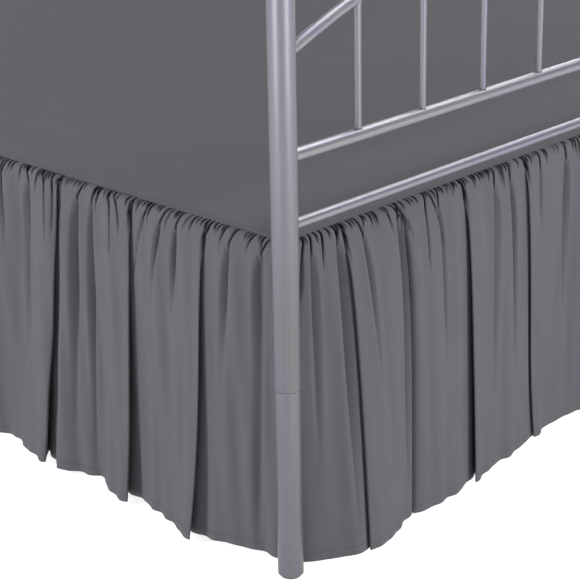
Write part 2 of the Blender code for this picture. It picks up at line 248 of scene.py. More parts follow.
surround = bpy.data.worlds.new("studio")
surround.use_nodes = True
glow = {"Color": WHITE, "Strength": SURROUND_STRENGTH}
set_inputs(surround.node_tree.nodes["Background"], glow)
bpy.context.scene.world = surround
bpy.context.scene.view_settings.view_transform = "Standard"
area_lamp("side_lamp", (-4.4, 1.0, 2.0), (-0.76, -0.6, 0.3), 1.2, 155, "cloth")
area_lamp("foot_lamp", (0.9, -4.8, 2.0), (-0.3, -1.0, 0.3), 1.2, 155, "cloth")
area_lamp("top_lamp", (0.0, 0.0, 5.0), (0.0, 0.0, 0.0), 1.4, 20)
area_lamp("right_lamp", (4.6, 1.6, 1.8), (0.76, 0.2, 0.3), 1.6, 85)
area_lamp("head_lamp", (1.6, 5.0, 1.8), (0.2, 1.0, 0.3), 1.6, 85)
area_lamp("left_gleam", (-4.6, -0.85, 0.8), POST_AT, 1.6, 52, "steel")
area_lamp("foot_gleam", (-0.75, -4.9, 0.8), POST_AT, 1.6, 60, "steel")
area_lamp("rail_gleam", (2.0, -1.1, 4.6), (-0.3, -1.03, 0.6), 2.6, 230, "steel")

floor_shape = bmesh.new()
bmesh.ops.create_grid(floor_shape, x_segments=1, y_segments=1, size=FLOOR_SIZE / 2)
floor_white, _, floor_shader = start_material("floor_white")
paint = {"Base Color": (0.55, 0.55, 0.55, 1), "Roughness": 0.8}
set_inputs(floor_shader, {**paint, "Emission Color": WHITE, "Emission Strength": 0.8})
add_object("floor", make_mesh("floor", floor_shape, floor_white))

# %% [markdown]
# The skirt's cloth
#
# The skirt is a brushed microfibre: a plain weave so fine that it can only be seen from close by,
# under a nap that makes it matt and slightly soft at its edges. Three scales make it: threads of
# a third of a millimetre that cross over and under each other, a short fuzz, and a slow cloudiness
# where the nap lies this way or that. The weave follows the cloth, so it reads the piece's own map.

# %% Build the cloth's group
THREADS_PER_METRE = 2800


def build_weave_group():
    """Colour, roughness and height of brushed plain weave, from a map in metres."""
    inputs = {"Map": None, "Colour": GREY, "Cloudiness": 0.1, "Roughness": 0.85}
    group, given, result = start_group("brushed_weave", inputs)
    turns = pi * THREADS_PER_METRE
    warp, weft = (maths("SINE", times(way, turns)) for way in split_place(given["Map"])[:2])
    weave = times(warp, weft)
    fuzz = read_noise(given["Map"], 900, 3, 0.7)
    nap = read_noise(given["Map"], 14, 4, 0.55)
    cloud = times(minus(nap, 0.5), given["Cloudiness"])
    lint = times(minus(fuzz, 0.5), 0.16)
    shade = plus(plus(plus(cloud, lint), times(weave, 0.035)), 1)
    set_inputs(
        result,
        {
            "Colour": scale_colour(given["Colour"], shade),
            "Roughness": plus(given["Roughness"], times(lint, 0.5)),
            "Height": plus(times(weave, 0.35), fuzz),
        },
    )
    return group


weave_group = build_weave_group()

# %% [markdown]
# One material serves the deck and the ruffles, because they are cut from one cloth. The ruffles
# have a stitched hem as well, which the same map can place: it measures metres down from the seam.
# A second map of theirs says how tightly each gather is pinched and how deep each crease is turned
# away from the light. There the colour is darkened with painted shade, more than soft studio light
# alone would make it.

# %% Make the cloth's material
SKIRT_COLOUR = (0.106, 0.108, 0.119, 1)
SHEEN_WEIGHT = 0.02
SHEEN_ROUGHNESS = 0.45
HEM_DEPTH = 0.012
STITCH_LENGTH = 0.003
STITCH_SHARE = 0.8
STITCH_HALF_WIDTH = 0.0007
# Painted shade: how much the colour darkens in a gather's pinched slit and on a crease wall turned
# from the light.
PINCH_PAINTED_SHADE = 0.96
CREASE_PAINTED_SHADE = 0.22


def make_cloth(name, hem_at=None):
    """The skirt's cloth. With hem_at, a line of stitches runs that far down the map, and painted
    shade darkens the gathers and creases.
    """
    material, tree, shader = start_material(name)
    chart = add_node(tree, "ShaderNodeUVMap", uv_map="cloth").outputs["UV"]
    look = {"Map": chart, "Colour": SKIRT_COLOUR, "Cloudiness": 0.12, "Roughness": 0.86}
    weave = add_node(tree, "ShaderNodeGroup", look, node_tree=weave_group).outputs
    colour, height = weave["Colour"], weave["Height"]
    if hem_at is not None:
        along, fall, _ = split_place(chart)
        line = maths("LESS_THAN", maths("ABSOLUTE", minus(fall, hem_at)), STITCH_HALF_WIDTH)
        step = maths("FRACT", maths("DIVIDE", along, STITCH_LENGTH))
        stitch = times(line, maths("LESS_THAN", step, STITCH_SHARE))
        dark = minus(1, times(stitch, 0.25))
        # Painted shade: the second map darkens the colour in pinched slits and on crease walls
        # turned from the light.
        nap = add_node(tree, "ShaderNodeUVMap", uv_map="nap").outputs["UV"]
        for mark, darkening in zip(split_place(nap), (PINCH_PAINTED_SHADE, CREASE_PAINTED_SHADE)):
            dark = times(dark, minus(1, times(mark, darkening)))
        colour = scale_colour(colour, dark)
        height = minus(height, times(stitch, 1.5))
    set_inputs(
        shader,
        {
            "Base Color": colour,
            "Roughness": weave["Roughness"],
            "Normal": bump_of(height, 0.25, 0.0002),
            "Specular IOR Level": 0.04,
            "Sheen Weight": SHEEN_WEIGHT,
            "Sheen Roughness": SHEEN_ROUGHNESS,
        },
    )
    return material


ruffle_cloth = make_cloth("ruffle_cloth", DROP - HEM_DEPTH)
deck_cloth = make_cloth("deck_cloth")

# %% [markdown]
# The folds of the ruffles
#
# Gathered cloth that nobody presses falls into broad laps. Each row below is one lap: where its
# edge is at the seam and at the hem, how far it stands out, where the cloth before it meets it,
# and how far that cloth tucks behind it. The rows are those that the solids are made from, with
# one lap closed a little tighter, so the fine cloth hangs on the same folds. The last value is how
# the fold opens on its way down: at once for a small ease, evenly for a large one, and late for
# one below 0.

# %% List the folds
Fold = namedtuple("Fold", "top hem out meet lap tuck swell roll ease", defaults=(90,))


def read_rows(kind, *rows):
    """Plain rows of numbers as named ones."""
    return tuple(kind(*row) for row in rows)


LEFT_FOLDS = read_rows(
    Fold,
    (17, 14, 3, 0, 0, 0, -2, 0), (137, 143, 54, 33, 35, 32, -6, 0, -420),
    (283, 293, 36, 15, 32, 12, 5, 0, -500), (420, 446, 31, 6, -40, 14, 0, 0, 400),
    (434, 482, 29, 13, 28, 5, 7, 2, 900), (572, 650, 24, 2, -40, 7, 0, 0),
    (690, 742, 38, 14, 32, 10, -5, 6), (815, 858, 44, 20, 34, 14, -6, 0),
    (930, 968, 26, 8, -30, 12, 3, 0), (1060, 1104, 50, 22, 36, 18, -8, -6),
    (1215, 1248, 34, 12, 30, 8, -4, 6), (1345, 1372, 28, 8, -34, 12, 2, 4),
    (1480, 1510, 46, 18, 34, 14, -8, 0), (1640, 1660, 36, 14, 30, 8, -6, -8),
    (1790, 1806, 48, 20, 34, 16, -8, 6), (1925, 1936, 30, 12, -28, 16, 0, 0),
    (2014, 2016, 8, 10, -12, 9, 0, 0),
)
FOOT_FOLDS = read_rows(
    Fold,
    (17, 5, 13, 0, 0, 0, 7, 0, 900), (98, 92, 66, 59, 12, 56, 7, 3, 600),
    (217, 214, 38, 34, 2, 5, 11, 1, 150), (348, 348, 43, 32, 34, 22, -1, -4, 400),
    (490, 527, 15, 10, 30, 2, -13, 0), (640, 682, 36, 12, 32, 6, -4, -6),
    (790, 822, 48, 20, 34, 14, 6, 0), (930, 948, 30, 10, -32, 14, 3, 2),
    (1075, 1090, 50, 18, 34, 12, 8, -5), (1235, 1246, 38, 14, 30, 8, 5, 0),
    (1375, 1384, 52, 24, 30, 18, -4, 0), (1506, 1510, 12, 16, -14, 14, 0, 0),
)
RIGHT_FOLDS = read_rows(
    Fold,
    (17, 12, 8, 0, 0, 0, 4, 0), (130, 140, 46, 22, 32, 16, 6, 0),
    (262, 285, 54, 26, 36, 20, -6, 7), (415, 448, 34, 12, -34, 16, 4, -5),
    (560, 604, 48, 16, 34, 12, -8, 5), (722, 758, 32, 12, 30, 6, 6, 0),
    (860, 898, 44, 16, 34, 10, -6, -9), (1020, 1052, 52, 22, 36, 16, -8, 5),
    (1180, 1212, 30, 8, -32, 12, 4, 0), (1330, 1358, 46, 18, 32, 12, 6, -7),
    (1490, 1516, 36, 12, 30, 8, -6, 5), (1640, 1660, 50, 20, 34, 14, -8, 0),
    (1800, 1815, 34, 14, 30, 8, 5, -4), (1925, 1930, 26, 10, -26, 12, 0, 0),
    (2014, 2018, 8, 10, -12, 9, 0, 0),
)

# %% [markdown]
# The creases between the folds
#
# Between its laps the cloth keeps soft troughs that start at a gather and run out further down.
# Those that the picture shows are listed, all in millimetres: the trough's place along the seam,
# at the bend where its gather lets go and at its low end, then how far down it reaches, how wide it
# opens and how deep it is. A depth below 0 is a ridge.

# %% List the creases that show
Crease = namedtuple("Crease", "top bend low reach wide deep")
LEFT_CREASES = read_rows(
    Crease,
    (10, 10, 14, 440, 5, -5), (21, 33, 54, 450, 15, 10), (47, 58, 60, 27, 1, 6),
    (77, 88, 108, 250, 13, 9), (96, 106, 108, 30, 1, 6), (125, 135, 138, 60, 1, 7),
    (155, 163, 166, 26, 1, 5), (179, 190, 202, 150, 9, 9), (208, 220, 246, 140, 9, 9),
    (243, 254, 288, 125, 3, 7), (275, 282, 284, 60, 1, 6), (315, 305, 302, 62, 6, 6),
    (326, 322, 321, 95, 2, 6), (355, 362, 388, 440, 10, 8), (380, 391, 420, 400, 13, 9),
    (430, 425, 423, 90, 1, 6), (444, 442, 444, 90, 2, 6), (471, 459, 454, 110, 3, 6),
    (508, 502, 530, 320, 16, 9), (552, 560, 556, 120, 7, 7), (600, 606, 616, 90, 3, 5),
)
FOOT_CREASES = read_rows(
    Crease,
    (29, 23, 15, 130, 4, 7), (40, 37, 32, 300, 11, 7), (59, 57, 55, 50, 2, 6),
    (82, 87, 90, 28, 1, 5), (95, 97, 100, 60, 1, 6), (90, 83, 76, 445, 15, 9),
    (124, 128, 134, 230, 9, 8), (139, 131, 128, 20, 1, 5), (151, 152, 153, 22, 1, 5),
    (161, 163, 165, 24, 1, 5), (183, 186, 190, 42, 2, 6), (197, 208, 222, 52, 2, 7),
    (205, 213, 228, 60, 3, 6), (207, 202, 196, 430, 15, 9), (264, 257, 251, 110, 3, 6),
    (292, 286, 282, 250, 9, 8), (272, 277, 296, 100, 3, 6), (330, 320, 318, 22, 1, 5),
    (343, 346, 350, 60, 1, 6), (375, 366, 364, 20, 1, 6), (405, 399, 398, 18, 1, 5),
    (416, 410, 404, 350, 13, 7), (453, 449, 462, 330, 9, 8), (487, 491, 494, 50, 1, 6),
    (522, 524, 532, 120, 7, 6), (586, 590, 601, 290, 12, 8), (612, 616, 620, 30, 1, 5),
)

# %% [markdown]
# Beyond the picture's edges the creases are drawn by chance, from the same range of sizes, and so
# are the finest gathers at the seam, which are a few millimetres apart. The chances are seeded, so
# every run gives the same cloth.


# %% Draw the other creases and the fine gathers
def draw_creases(chance, start, stop, lean):
    """Troughs of mixed lengths along a stretch of seam, whose gathers lean by about lean."""
    drawn = []
    along = start
    while along < stop:
        long_one = chance.random() < 0.45
        reach = chance.uniform(150, 340) if long_one else chance.uniform(35, 120)
        wide = chance.uniform(8, 15) if long_one else chance.uniform(1, 6)
        deep = chance.uniform(6, 9) if long_one else chance.uniform(5, 8)
        bend = along + lean * chance.uniform(0.2, 1.4)
        drawn.append(Crease(along, bend, bend + chance.uniform(-8, 24), reach, wide, deep))
        along += chance.uniform(16, 36)
    return drawn


def draw_gathers(chance, length, lean):
    """The small pleats that the gathering thread makes along the whole seam."""
    drawn = []
    along = 18
    while along < length - 18:
        reach = chance.uniform(8, 18) if chance.random() < 0.8 else chance.uniform(18, 38)
        bend = along + lean * chance.uniform(0.2, 1.4)
        drawn.append(Crease(along, bend, bend, reach, 1, chance.uniform(2.0, 8.0)))
        along += chance.uniform(4, 9) if chance.random() < 0.75 else chance.uniform(12, 24)
    return drawn


# %% [markdown]
# How a fold opens on its way down
#
# At the seam the cloth is held flat against the edge. Below it the folds open quickly at first,
# and then hang nearly straight. Two measures follow the fall below the seam: how far a fold has
# come out, and how far its laps have closed over each other, which happens sooner.

# %% Shape a fold line
CLOSING_FALL = 0.022
LEAN_POWER = 1.4
EDGE_GAP = 0.0028
SHOULDER = 0.0128
SEAM_TURN = radians(45)
FACE_STOPS = 3
SEAM_SHARES = (0, 0.32, 0.64, 0.95, 0.975)
OPEN_TURN = 1.6
EDGE_ROOM = 4
LAP_ROOM = 0.005


def settled(fall, scale):
    """From 0 at the seam to 1 at the hem, most of it within the first scale metres."""
    return (1 - np.exp(-fall / scale)) / (1 - exp(-DROP / scale))


def hang_line(fall):
    """Out and height of cloth with no folds: round the shoulder of the bed's edge, then down."""
    turn = SEAM_TURN + fall / SHOULDER
    straight = (pi / 2 - SEAM_TURN) * SHOULDER
    bent = np.minimum(turn, pi / 2)
    out = EDGE_GAP - SHOULDER * (1 - np.sin(bent))
    height = SHOULDER * np.cos(bent) - SHOULDER * cos(SEAM_TURN)
    return out, SEAM_HEIGHT + height - np.maximum(fall - straight, 0)


def fold_stops(folds, fall):
    """The turning points (along, out), in metres, of all the folds at one height."""
    lean = (fall / DROP) ** LEAN_POWER
    flat_out = hang_line(fall)[0]
    stops = FACE_STOPS + 2
    line = []
    for fold, following in zip(folds, folds[1:]):
        start = fold.top + (fold.hem - fold.top) * lean
        cell = following.top + (following.hem - following.top) * lean - start
        reach = cell + min(following.lap, 0) * OPEN_TURN - EDGE_ROOM
        opening = settled(fall, fold.ease * MM)
        next_opening = settled(fall, following.ease * MM)
        closed = settled(fall, CLOSING_FALL) if following.lap > 0 else 1
        for stop in range(stops):
            share = stop / FACE_STOPS
            wave = fold.swell * sin(pi * share)
            wave += fold.roll * sin(2 * pi * share)
            place, stand = reach * share, fold.out + (following.meet - fold.out) * share + wave
            if stop > FACE_STOPS:
                place, stand = cell + following.lap, following.tuck
            even = cell * SEAM_SHARES[stop]
            along = start + even + (place - even) * closed
            opened = opening + (next_opening - opening) * min(share, 1)
            room = LAP_ROOM * closed * (1 - opened) * max(1 - share, 0)
            line.append((along * MM, flat_out + (stand * MM - flat_out) * opened + room))
    end = folds[-1]
    opened = settled(fall, end.ease * MM)
    along = (end.top + (end.hem - end.top) * lean) * MM
    line.append((along, flat_out + (end.out * MM - flat_out) * opened))
    return np.array(line)


def along_curve(points, places):
    """A smooth curve through points, read at places counted in points."""
    last = len(points) - 1
    index = np.clip(np.floor(places).astype(int), 0, last - 1)
    t = (places - index)[:, None]
    before, here = points[np.maximum(index - 1, 0)], points[index]
    after, beyond = points[index + 1], points[np.minimum(index + 2, last)]
    bend = 2 * before - 5 * here + 4 * after - beyond
    twist = 3 * here - before - 3 * after + beyond
    return here + 0.5 * t * (after - before + t * (bend + t * twist))


# %% [markdown]
# How a crease looks
#
# A gathering thread pinches the cloth into a slit at the seam, which leans with the pull of the
# thread. Some way down the slit lets go, and opens into a trough like a drop: steep on the side
# where the next roll of cloth begins, and an even slope on the other. Further down both sides
# soften, until the trough runs out.

# %% Shape a crease
SLIT = 0.0011
PINCH_WIDTH = 0.0016
PINCH_SIDE = 0.0014
NECK = 0.024
BEND_FALL = 0.022
DROP_OPENING = 0.014
STEEP_SIDE = 0.12
STEEP_SOFTENING = 0.45
CREASE_FORCE = 1.2


def crease_place(crease, fall):
    """Where the middle of a crease is along the seam, in metres."""
    if fall < BEND_FALL:
        return (crease.top + (crease.bend - crease.top) * fall / BEND_FALL) * MM
    share = (fall - BEND_FALL) / max(crease.reach * MM - BEND_FALL, BEND_FALL)
    return (crease.bend + (crease.low - crease.bend) * share) * MM


def press_creases(creases, along, fall):
    """Depth of the creases, and the painted shade of their pinched slits and turned walls, at
    places along a row that hangs fall metres down.
    """
    depth, pinch, shade = (np.zeros_like(along) for _ in range(3))
    for crease in creases:
        reach = crease.reach * MM
        if fall > reach:
            continue
        share = fall / reach
        neck = min(NECK, reach * 0.45)
        away = along - crease_place(crease, fall)
        opened = 1 - exp(-max(fall - neck, 0) / DROP_OPENING)
        wide = crease.wide * MM * opened * (1 - share) ** 0.35
        slit = np.exp(-((away / SLIT) ** 2))
        gentle = np.clip(1 - away / (SLIT + wide), 0, 1) ** (1 + share)
        steep_width = SLIT + wide * (STEEP_SIDE + STEEP_SOFTENING * share)
        steep = np.exp(-((away / steep_width) ** 2))
        fade = 1 - share**2
        trough = np.where(away > 0, np.maximum(gentle, slit), steep)
        depth += crease.deep * MM * CREASE_FORCE * fade * trough
        # Painted shade: one mask darkens the colour where the thread pinches the slit, another on
        # the crease wall turned from the light.
        tight = np.exp(-(((away - PINCH_SIDE) / PINCH_WIDTH) ** 2))
        tight *= max(min(1.8 - fall / neck, 1), 0)
        pinch = np.maximum(pinch, tight * min(crease.deep / 5, 1))
        side = np.exp(-((2 * away / (SLIT + wide) - 1) ** 6))
        shade = np.maximum(shade, side * opened * fade * min(crease.deep / 9, 1))
    return depth, pinch, shade


# %% [markdown]
# A ruffle is one grid of cloth. Its upper rows have three times the columns of its lower ones, so
# that a pleat a few millimetres wide has its own points there. The columns are closer together on
# the stretch that is seen from near by. Each row is laid on its folds, pressed in by the creases,
# and let down by the length of cloth that lies between it and the row above. A Solidify modifier
# gives the cloth its thickness.

# %% Lay out a ruffle
TOP_CUTS = 2
GATHER_ROWS = 11
GATHER_FALL = 0.026
GATHER_CROWDING = 1.4
CREASE_ROWS = 8
CREASE_FALL = 0.110
LOWER_ROWS = 10
COARSE_COLUMNS = 690
NEAR_SHARE = 2.6
HIDDEN_SHARE = 0.3
RIDGE_LIFT = 0.0012
LIFT_FALL = 0.008
PUFF_HEIGHT = 0.0040
PUFF_RISE = 0.0014
PUFF_FALL = 0.040
BELLY_HEIGHT = 0.0060
BELLY_FALL = 0.085
END_PRESS = 0.045
SLOW_WAVE = 0.0011
EVEN_COLUMNS = 14
EVEN_FALL = 0.012


def row_falls():
    """The rows' distances below the seam: close together in the gathers, then ever wider."""
    gathers = GATHER_FALL * np.linspace(0, 1, GATHER_ROWS + 1) ** GATHER_CROWDING
    creases = np.linspace(GATHER_FALL, CREASE_FALL, CREASE_ROWS + 1)[1:]
    lower = np.linspace(CREASE_FALL, DROP - HEM_DEPTH, LOWER_ROWS + 1)[1:]
    return np.concatenate([gathers, creases, lower, [DROP - HEM_DEPTH / 2, DROP]])


def column_places(folds, columns, near):
    """Where the columns lie on the fold line: by its length, and closer together up to near."""
    line = fold_stops(folds, CREASE_FALL)
    lengths = np.maximum(np.hypot(*np.diff(line, axis=0).T), 0.012)
    middles = (line[1:, 0] + line[:-1, 0]) / 2
    weights = lengths * np.where(middles < near, NEAR_SHARE, 1)
    stops = FACE_STOPS + 2
    for number, fold in enumerate(folds[1:], start=1):
        if fold.lap > 0:
            weights[number * stops - 2 : number * stops] *= HIDDEN_SHARE
    reached = np.concatenate([[0], np.cumsum(weights)])
    return np.interp(np.linspace(0, reached[-1], columns), reached, np.arange(len(line)))


def slow_wave(chance, along, fall):
    """A slow unevenness of the hanging cloth, which drifts sideways as it goes down."""
    wave = np.zeros_like(along)
    for length in (0.031, 0.047, 0.076, 0.118):
        drift, start = chance.uniform(-0.10, 0.10), chance.uniform(0, 6.3)
        size = chance.uniform(0.6, 1.2)
        wave += size * np.sin(2 * pi * (along + drift * fall) / length + start)
    return wave * SLOW_WAVE * (1 - exp(-fall / 0.05))


def ruffle_rows(folds, creases, places, seed):
    """Along, out and height of every column at every row, and its marks of painted shade: pinch and
    wall.
    """
    falls = row_falls()
    rows, lifts, marks = [], [], []
    for fall in falls:
        along, out = along_curve(fold_stops(folds, fall), places).T
        flat_out = hang_line(fall)[0]
        puff = PUFF_HEIGHT * (1 - exp(-fall / PUFF_RISE)) * exp(-fall / PUFF_FALL)
        puff += BELLY_HEIGHT * (fall / BELLY_FALL) * exp(1 - fall / BELLY_FALL)
        puff = puff * np.clip(np.minimum(along - along[0], along[-1] - along) / END_PRESS, 0, 1)
        wander = slow_wave(np.random.default_rng(seed), along, fall)
        depth, *shades = press_creases(creases, along, fall)
        out = np.maximum(out, flat_out) + puff + wander
        out = np.maximum(out - depth, flat_out - 0.0002)
        rows.append((along, out))
        marks.append(shades)
        ridge = np.clip((out - flat_out) / PUFF_HEIGHT, 0, 1)
        lifts.append(RIDGE_LIFT * ridge * exp(-fall / LIFT_FALL))
    rows = np.array(rows)
    plain = hang_line(falls)[1]
    heights = [np.full(len(places), SEAM_HEIGHT)]
    for index in range(1, len(falls)):
        drop = plain[index - 1] - plain[index]
        slant = rows[index, 1] - rows[index - 1, 1]
        fallen = np.sqrt(np.maximum(drop**2 - slant**2, (0.6 * drop) ** 2))
        heights.append(heights[-1] - fallen)
    heights = np.array(heights)
    even = np.ones(2 * EVEN_COLUMNS + 1) / (2 * EVEN_COLUMNS + 1)
    for level, fall in enumerate(falls):
        smooth = np.convolve(np.pad(heights[level], EVEN_COLUMNS, mode="edge"), even, mode="valid")
        heights[level] += (smooth - heights[level]) * (1 - exp(-fall / EVEN_FALL))
    short = (heights[-1] - plain[-1]) * 0.45
    heights -= (heights[-1] - plain[-1] - short) * ((falls / DROP) ** 2)[:, None]
    heights += np.array(lifts)
    return falls, rows[:, 0], rows[:, 1], heights, np.array(marks)


# %% Build a ruffle
CLOTH_THICK = 0.0012
FULLNESS = 1.55
NEAR_REACH = 0.64


def add_piece(name, shape, material, node, sharp_from=None):
    """Puts a finished shape in the scene, in place of the solid that it stands for."""
    piece = add_object(name, make_mesh(name, shape, material, sharp_from))
    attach(piece, "root")
    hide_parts(node)
    return piece


def add_sheet(name, shape, material, node, thickness):
    """Puts a finished sheet of cloth in the scene, thickened on the side that it faces."""
    piece = add_piece(name, shape, material, node)
    thick = piece.modifiers.new("cloth", "SOLIDIFY")
    thick.thickness, thick.offset = thickness, 1
    print(name, len(piece.data.polygons), "faces")


def grid_step(part, steps):
    """Which line of a grid lies at a coordinate from -1 to 1."""
    return round((part + 1) / 2 * steps)


def build_ruffle(side, folds, creases, length, seed, outward, to_world):
    """The whole ruffle as one sheet of cloth that takes the solid's place."""
    fine_columns = COARSE_COLUMNS * (TOP_CUTS + 1)
    places = column_places(folds, fine_columns + 1, NEAR_REACH)
    falls, along, out, height, marks = ruffle_rows(folds, creases, places, seed)
    row_count = len(falls) - 1
    cloth = bmesh.new()
    bmesh.ops.create_grid(cloth, x_segments=COARSE_COLUMNS, y_segments=row_count, size=1)
    fine_from = 1 - 2 * (GATHER_ROWS + CREASE_ROWS + 0.5) / row_count
    upper_edges = [
        edge
        for edge in cloth.edges
        if abs(edge.verts[0].co.y - edge.verts[1].co.y) < 1e-6 and edge.verts[0].co.y > fine_from
    ]
    bmesh.ops.subdivide_edges(cloth, edges=upper_edges, cuts=TOP_CUTS)
    # The second map carries painted shade: the pinch of each slit and the crease walls turned from
    # the light.
    chart, nap = cloth.loops.layers.uv.new("cloth"), cloth.loops.layers.uv.new("nap")
    cut_length = length * FULLNESS

    def row_and_column(vert):
        return grid_step(-vert.co.y, row_count), grid_step(vert.co.x, fine_columns)

    for face in cloth.faces:
        for corner in face.loops:
            level, column = row_and_column(corner.vert)
            corner[chart].uv = ((corner.vert.co.x + 1) / 2 * cut_length, falls[level])
            corner[nap].uv = marks[level, :, column]
    for vert in cloth.verts:
        spot = row_and_column(vert)
        vert.co = to_world(along[spot], out[spot], height[spot])
    cloth.normal_update()
    if sum(face.normal.dot(Vector(outward)) for face in cloth.faces) < 0:
        bmesh.ops.reverse_faces(cloth, faces=cloth.faces)
    name, node = f"{side}_ruffle", f"ruffle_{side}"
    add_sheet(name, cloth, ruffle_cloth, node, CLOTH_THICK)


# %% Gather the creases of each ruffle
LAP_SLIT = {"reach": 75, "wide": 2, "deep": 6}


def all_creases(seed, folds, seen, start, stop, lean, length):
    """The creases that show, a slit at the top of each hidden lap, and those drawn by chance."""
    chance = np.random.default_rng(seed)
    laps = [fold.top for fold in folds[1:-1] if fold.top > NEAR_REACH / MM]
    return [
        *seen,
        *[Crease(top - 6, top, top, **LAP_SLIT) for top in laps],
        *draw_creases(chance, start, stop, lean),
        *draw_gathers(chance, length / MM, lean),
    ]


left_creases = all_creases(11, LEFT_FOLDS, LEFT_CREASES, 640, 1990, 9, BED_LENGTH)
foot_creases = all_creases(12, FOOT_FOLDS, FOOT_CREASES, 645, 1500, 2, BED_WIDTH)
right_creases = all_creases(13, RIGHT_FOLDS, (), 30, 1990, 8, BED_LENGTH)
print("creases:", len(left_creases), len(foot_creases), len(right_creases))


# %% Build the three ruffles
def on_left(along, out, height):
    return (-HALF_WIDTH - out, FOOT_EDGE + along, height)


def on_foot(along, out, height):
    return (-HALF_WIDTH + along, FOOT_EDGE - out, height)


def on_right(along, out, height):
    return (HALF_WIDTH + out, FOOT_EDGE + along, height)


build_ruffle("left", LEFT_FOLDS, left_creases, BED_LENGTH, 21, (-1, 0, 0), on_left)
build_ruffle("foot", FOOT_FOLDS, foot_creases, BED_WIDTH, 22, (0, -1, 0), on_foot)
build_ruffle("right", RIGHT_FOLDS, right_creases, BED_LENGTH, 23, (1, 0, 0), on_right)

# %% [markdown]
# The deck
#
# The deck is flat cloth over the box spring. Near its seam the gathers pull at it, so that it
# puckers a little. Its edge is therefore a band of narrow rings, which start at the seam, come over
# the shoulder and run inwards, and one large face closes the middle. Each ring is the bed's outline
# drawn a little smaller.

# %% Build the deck
DECK_THICK = 0.0016
DECK_SEGMENTS = 1760
DECK_SHOULDER = 0.012
DECK_CORNER = 0.0164
PUCKER_HEIGHT = 0.0007
SHOULDER_TURNS = (45, 43, 34, 22, 11, 0)
DECK_INSETS = (0.006, 0.014, 0.026, 0.044, 0.075, 0.130)
SEAM_CLEARANCE = 0.002
PUCKER_INSET = 0.008


def outline_point(share, half_x, half_y, corner):
    """A point of a rounded rectangle, by the share of its length that lies before it."""
    straight_x, straight_y = 2 * (half_x - corner), 2 * (half_y - corner)
    bend = pi / 2 * corner
    left = share * 2 * (straight_x + straight_y + 2 * bend)
    for quarter in range(4):
        straight = straight_y if quarter % 2 == 0 else straight_x
        near, far = (half_x, half_y) if quarter % 2 == 0 else (half_y, half_x)
        turn = Matrix.Rotation(quarter * pi / 2, 2)
        if left <= straight:
            return turn @ Vector((near, left - straight / 2))
        left -= straight
        if left <= bend:
            angle = left / corner
            return turn @ Vector(
                (near - corner + corner * cos(angle), far - corner + corner * sin(angle))
            )
        left -= bend
    return Vector((half_x, -half_y + corner))


def ring_place(edge, half_x, half_y, grow, height):
    """A point of the outline round the bed, moved outwards by grow."""
    x, y = edge.x * (half_x + grow) / half_x, edge.y * (half_y + grow) / half_y
    return (x, BED_CENTRE.y + y, height)


def build_deck():
    """The deck as one sheet: a band of rings, and a face that fills the innermost."""
    chance = np.random.default_rng(31)
    flat_height = SEAM_HEIGHT - DECK_SHOULDER * cos(SEAM_TURN)
    seam_out = SEAM_CLEARANCE - DECK_SHOULDER + DECK_SHOULDER * sin(SEAM_TURN)
    rings = []
    for turn in SHOULDER_TURNS:
        angle = radians(turn)
        inset = DECK_SHOULDER * (sin(SEAM_TURN) - sin(angle))
        rings.append((inset, flat_height + DECK_SHOULDER * cos(angle)))
    shoulder_inset, flat_level = rings[-1]
    rings += [(shoulder_inset + inset, flat_level) for inset in DECK_INSETS]
    half_x, half_y = HALF_WIDTH + seam_out, BED_LENGTH / 2 + seam_out
    shares = np.arange(DECK_SEGMENTS + 1) / DECK_SEGMENTS
    outline = [outline_point(share % 1, half_x, half_y, DECK_CORNER) for share in shares]
    pull = np.zeros(DECK_SEGMENTS + 1)
    for waves in (211, 283, 347, 431):
        pull += np.sin(2 * pi * waves * shares + chance.uniform(0, 6.3)) / 2
    pull *= 0.3 + 0.7 * np.sin(2 * pi * 37 * shares) ** 2
    deck = bmesh.new()
    bmesh.ops.create_grid(deck, x_segments=DECK_SEGMENTS, y_segments=len(rings) - 1, size=1)
    for vert in deck.verts:
        place = grid_step(vert.co.x, DECK_SEGMENTS)
        inset, level = rings[grid_step(-vert.co.y, len(rings) - 1)]
        edge = outline[place]
        share = inset / PUCKER_INSET
        lift = PUCKER_HEIGHT * max(pull[place], 0) * share * exp(1 - share)
        vert.co = ring_place(edge, half_x, half_y, -inset, level + lift)
    bmesh.ops.remove_doubles(deck, verts=deck.verts, dist=0.00002)
    inner = [e for e in deck.edges if e.is_boundary and e.verts[0].co.z > DECK_TOP - 0.003]
    bmesh.ops.edgenet_fill(deck, edges=inner)
    bmesh.ops.recalc_face_normals(deck, faces=deck.faces)
    if sum(face.normal.z for face in deck.faces) < 0:
        bmesh.ops.reverse_faces(deck, faces=deck.faces)
    chart = deck.loops.layers.uv.new("cloth")
    for face in deck.faces:
        for corner in face.loops:
            corner[chart].uv = corner.vert.co.xy
    add_sheet("deck", deck, deck_cloth, "deck_panel", DECK_THICK)


build_deck()

# %% [markdown]
# The box spring
#
# A box spring is a firm block in ticking, with a welt of piped cord round its top and bottom edges.
# The skirt hides all of it but its head side. It is one block with rounded corners, and two cords
# that are swept round the same outline.

# %% Make the ticking
TICKING_COLOUR = (0.58, 0.56, 0.52, 1)
STRIPE_PITCH = 0.024


